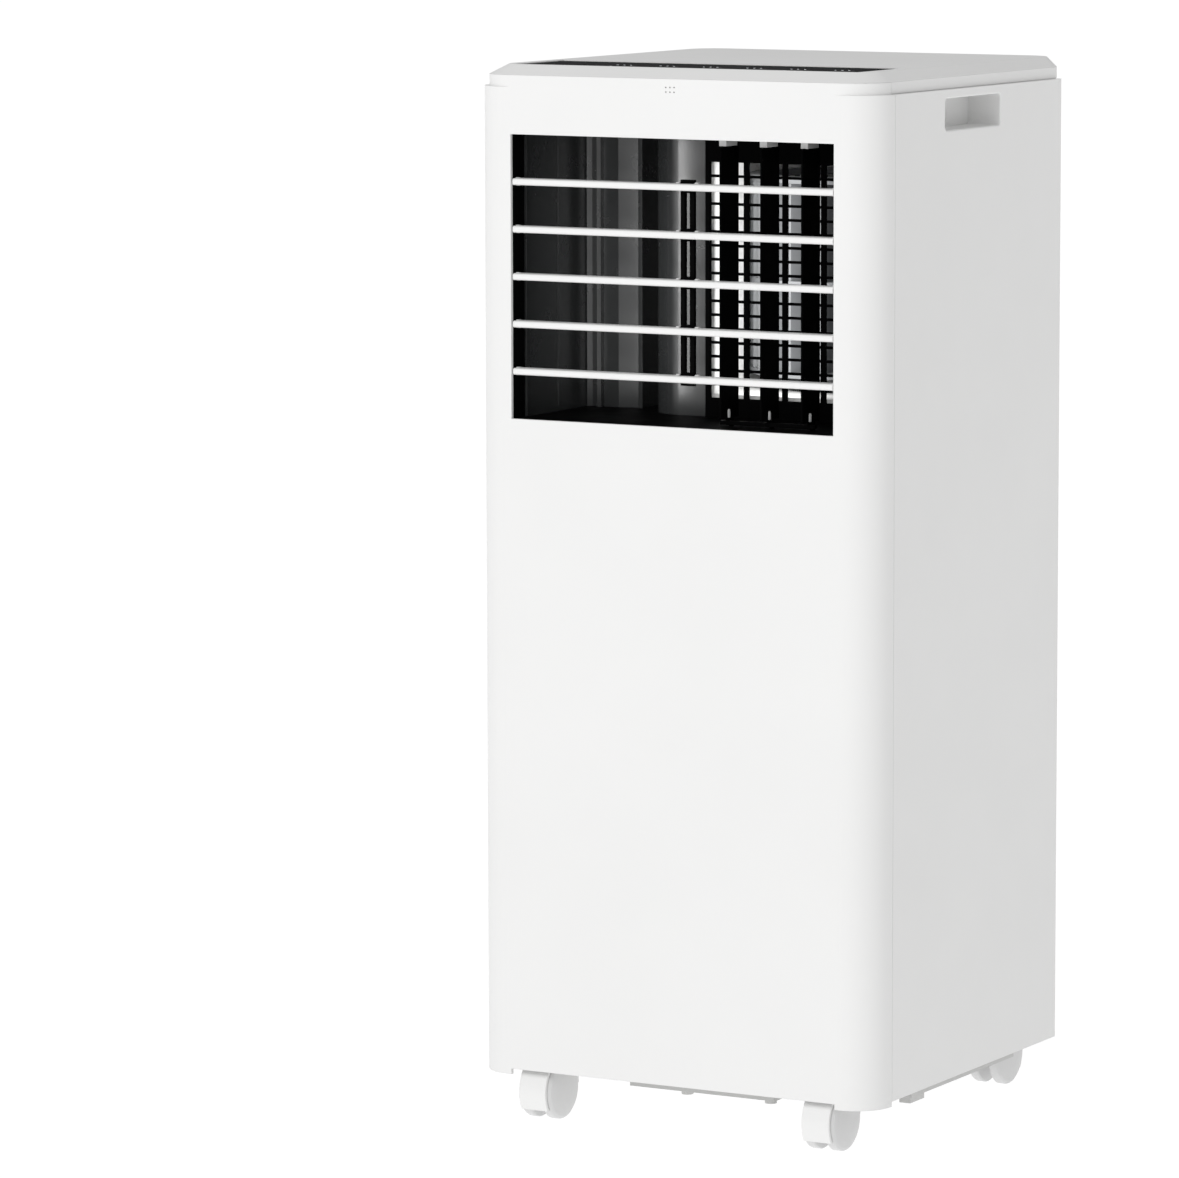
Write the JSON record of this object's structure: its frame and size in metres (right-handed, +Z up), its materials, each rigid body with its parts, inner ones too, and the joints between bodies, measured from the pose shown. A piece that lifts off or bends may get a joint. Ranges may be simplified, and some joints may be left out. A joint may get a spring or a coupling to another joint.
{
  "type": "portable air conditioner",
  "caption": "White floor-standing portable air conditioner on swivel casters, with a front louvred outlet, side hand grips, top control panel and rear exhaust collar.",
  "frame": {"origin": "on the floor under the middle of the casing's bounding box", "axes": "+Z up, the air outlet faces -Y, +X to the right as seen from the front"},
  "size_m": [0.297, 0.294, 0.7],
  "materials": {
    "white_shell": "moulded ABS, fine satin",
    "white_louver": "smooth satin",
    "black_duct": "satin black",
    "black_vane": "satin black",
    "grey_duct": "satin dark grey",
    "gloss_black": "gloss black",
    "board_green": "solder mask",
    "grey_base": "light grey",
    "foam": "expanded foam",
    "blower_grey": "grey moulding",
    "motor_metal": "plated steel",
    "coil_fins": "bare fins",
    "compressor_black": "black enamel",
    "copper": "drawn copper tube",
    "rubber": "matt rubber",
    "white_grille": "moulded ABS",
    "filter_mesh": "nylon mesh",
    "screw_steel": "zinc plated",
    "white_hood": "moulded nylon",
    "wheel_grey": "grey nylon"
  },
  "bodies": {
    "casing": {"front_panel": "white_shell", "side_panel_left": "white_shell", "side_panel_right": "white_shell", "rear_panel": "white_shell", "top_cover": "white_shell", "vane_bushes": "white_shell", "outlet_frame": "black_duct", "outlet_guard": "black_duct", "duct_wall": "grey_duct", "control_panel": "gloss_black", "control_board": "board_green", "base_pan": "grey_base", "partition_deck": "grey_base", "condenser_duct": "grey_base", "blower_scroll": "foam", "blower_motor": "motor_metal", "condenser_motor": "motor_metal", "swing_motor": "motor_metal", "evaporator_coil": "coil_fins", "condenser_coil": "coil_fins", "compressor": "compressor_black", "refrigerant_pipes": "copper", "compressor_feet": "rubber", "cord_gland": "rubber", "lower_grille": "white_grille", "exhaust_collar": "white_grille", "housing_screws": "screw_steel"},
    "louver_1_blade": {"louver_1": "white_louver"},
    "louver_2_blade": {"louver_2": "white_louver"},
    "louver_3_blade": {"louver_3": "white_louver"},
    "louver_4_blade": {"louver_4": "white_louver"},
    "louver_5_blade": {"louver_5": "white_louver"},
    "louver_link_bar": {"louver_link": "black_duct"},
    "vane_1_blade": {"vane_1": "black_vane"},
    "vane_2_blade": {"vane_2": "black_vane"},
    "vane_3_blade": {"vane_3": "black_vane"},
    "vane_link_bar": {"vane_link": "black_duct"},
    "blower_rotor": {"blower_wheel": "blower_grey"},
    "condenser_rotor": {"condenser_fan": "blower_grey"},
    "rear_grille": {"intake_grille": "white_grille", "air_filter": "filter_mesh"},
    "drain_plug": {"drain_cap": "rubber"},
    "power_key_cap": {"power_key": "gloss_black"},
    "mode_key_cap": {"mode_key": "gloss_black"},
    "cooler_key_cap": {"cooler_key": "gloss_black"},
    "warmer_key_cap": {"warmer_key": "gloss_black"},
    "speed_key_cap": {"speed_key": "gloss_black"},
    "swing_key_cap": {"swing_key": "gloss_black"},
    "caster_front_left_swivel": {"caster_front_left_hood": "white_hood"},
    "caster_front_left_wheel_pair": {"caster_front_left_wheels": "wheel_grey"},
    "caster_front_right_swivel": {"caster_front_right_hood": "white_hood"},
    "caster_front_right_wheel_pair": {"caster_front_right_wheels": "wheel_grey"},
    "caster_rear_left_swivel": {"caster_rear_left_hood": "white_hood"},
    "caster_rear_left_wheel_pair": {"caster_rear_left_wheels": "wheel_grey"},
    "caster_rear_right_swivel": {"caster_rear_right_hood": "white_hood"},
    "caster_rear_right_wheel_pair": {"caster_rear_right_wheels": "wheel_grey"}
  },
  "joints": [
    {"name": "louver_1_tilt", "type": "hinge", "parent": "casing", "child": "louver_1_blade", "pos_m": [0, -0.141, 0.50003], "axis": [1, 0, 0], "range_deg": [-30, 30]},
    {"name": "louver_2_tilt", "type": "hinge", "parent": "casing", "child": "louver_2_blade", "pos_m": [0, -0.141, 0.53107], "axis": [1, 0, 0], "range_deg": [-30, 30]},
    {"name": "louver_3_tilt", "type": "hinge", "parent": "casing", "child": "louver_3_blade", "pos_m": [0, -0.141, 0.5621], "axis": [1, 0, 0], "range_deg": [-30, 30]},
    {"name": "louver_4_tilt", "type": "hinge", "parent": "casing", "child": "louver_4_blade", "pos_m": [0, -0.141, 0.59313], "axis": [1, 0, 0], "range_deg": [-30, 30]},
    {"name": "louver_5_tilt", "type": "hinge", "parent": "casing", "child": "louver_5_blade", "pos_m": [0, -0.141, 0.62417], "axis": [1, 0, 0], "range_deg": [-30, 30]},
    {"name": "louver_link_swing", "type": "hinge", "parent": "louver_3_blade", "child": "louver_link_bar", "pos_m": [0.008, -0.1369, 0.5621], "axis": [1, 0, 0], "range_deg": [-30, 30]},
    {"name": "vane_1_swing", "type": "hinge", "parent": "casing", "child": "vane_1_blade", "pos_m": [0.02962, -0.1185, 0.56], "axis": [0, 0, 1], "range_deg": [-25, 25]},
    {"name": "vane_2_swing", "type": "hinge", "parent": "casing", "child": "vane_2_blade", "pos_m": [0.05925, -0.1185, 0.56], "axis": [0, 0, 1], "range_deg": [-25, 25]},
    {"name": "vane_3_swing", "type": "hinge", "parent": "casing", "child": "vane_3_blade", "pos_m": [0.08887, -0.1185, 0.56], "axis": [0, 0, 1], "range_deg": [-25, 25]},
    {"name": "vane_link_swing", "type": "hinge", "parent": "vane_2_blade", "child": "vane_link_bar", "pos_m": [0.05925, -0.1235, 0.4715], "axis": [0, 0, 1], "range_deg": [-25, 25]},
    {"name": "blower_spin", "type": "hinge", "parent": "casing", "child": "blower_rotor", "pos_m": [0.045, 0.018, 0.56], "axis": [0, 0, 1], "continuous": true},
    {"name": "condenser_fan_spin", "type": "hinge", "parent": "casing", "child": "condenser_rotor", "pos_m": [0.036, 0.084, 0.285], "axis": [0, 1, 0], "continuous": true},
    {"name": "rear_grille_pull", "type": "slide", "parent": "casing", "child": "rear_grille", "axis": [0, 1, 0], "range_m": [0, 0.03]},
    {"name": "drain_cap_pull", "type": "slide", "parent": "casing", "child": "drain_plug", "axis": [0, 1, 0], "range_m": [0, 0.014]},
    {"name": "power_key_press", "type": "slide", "parent": "casing", "child": "power_key_cap", "axis": [0, 0, -1], "range_m": [0, 0.0006], "stiffness_N_per_m": 400, "springref_m": -0.0006},
    {"name": "mode_key_press", "type": "slide", "parent": "casing", "child": "mode_key_cap", "axis": [0, 0, -1], "range_m": [0, 0.0006], "stiffness_N_per_m": 400, "springref_m": -0.0006},
    {"name": "cooler_key_press", "type": "slide", "parent": "casing", "child": "cooler_key_cap", "axis": [0, 0, -1], "range_m": [0, 0.0006], "stiffness_N_per_m": 400, "springref_m": -0.0006},
    {"name": "warmer_key_press", "type": "slide", "parent": "casing", "child": "warmer_key_cap", "axis": [0, 0, -1], "range_m": [0, 0.0006], "stiffness_N_per_m": 400, "springref_m": -0.0006},
    {"name": "speed_key_press", "type": "slide", "parent": "casing", "child": "speed_key_cap", "axis": [0, 0, -1], "range_m": [0, 0.0006], "stiffness_N_per_m": 400, "springref_m": -0.0006},
    {"name": "swing_key_press", "type": "slide", "parent": "casing", "child": "swing_key_cap", "axis": [0, 0, -1], "range_m": [0, 0.0006], "stiffness_N_per_m": 400, "springref_m": -0.0006},
    {"name": "caster_front_left_swivel_turn", "type": "hinge", "parent": "casing", "child": "caster_front_left_swivel", "pos_m": [-0.1057, -0.1138, 0.055], "axis": [0, 0, 1], "continuous": true},
    {"name": "caster_front_left_wheel_roll", "type": "hinge", "parent": "caster_front_left_swivel", "child": "caster_front_left_wheel_pair", "pos_m": [-0.1057, -0.1228, 0.02], "axis": [1, 0, 0], "continuous": true},
    {"name": "caster_front_right_swivel_turn", "type": "hinge", "parent": "casing", "child": "caster_front_right_swivel", "pos_m": [0.1057, -0.1138, 0.055], "axis": [0, 0, 1], "continuous": true},
    {"name": "caster_front_right_wheel_roll", "type": "hinge", "parent": "caster_front_right_swivel", "child": "caster_front_right_wheel_pair", "pos_m": [0.1057, -0.1228, 0.02], "axis": [1, 0, 0], "continuous": true},
    {"name": "caster_rear_left_swivel_turn", "type": "hinge", "parent": "casing", "child": "caster_rear_left_swivel", "pos_m": [-0.1057, 0.1123, 0.055], "axis": [0, 0, 1], "continuous": true},
    {"name": "caster_rear_left_wheel_roll", "type": "hinge", "parent": "caster_rear_left_swivel", "child": "caster_rear_left_wheel_pair", "pos_m": [-0.1057, 0.1213, 0.02], "axis": [1, 0, 0], "continuous": true},
    {"name": "caster_rear_right_swivel_turn", "type": "hinge", "parent": "casing", "child": "caster_rear_right_swivel", "pos_m": [0.1057, 0.1123, 0.055], "axis": [0, 0, 1], "continuous": true},
    {"name": "caster_rear_right_wheel_roll", "type": "hinge", "parent": "caster_rear_right_swivel", "child": "caster_rear_right_wheel_pair", "pos_m": [0.1057, 0.1213, 0.02], "axis": [1, 0, 0], "continuous": true}
  ],
  "couplings": [
    {"joint": "louver_1_tilt", "follows": "louver_3_tilt", "ratio": 1},
    {"joint": "louver_2_tilt", "follows": "louver_3_tilt", "ratio": 1},
    {"joint": "louver_4_tilt", "follows": "louver_3_tilt", "ratio": 1},
    {"joint": "louver_5_tilt", "follows": "louver_3_tilt", "ratio": 1},
    {"joint": "louver_link_swing", "follows": "louver_3_tilt", "ratio": -1},
    {"joint": "vane_1_swing", "follows": "vane_2_swing", "ratio": 1},
    {"joint": "vane_3_swing", "follows": "vane_2_swing", "ratio": 1},
    {"joint": "vane_link_swing", "follows": "vane_2_swing", "ratio": -1}
  ]
}
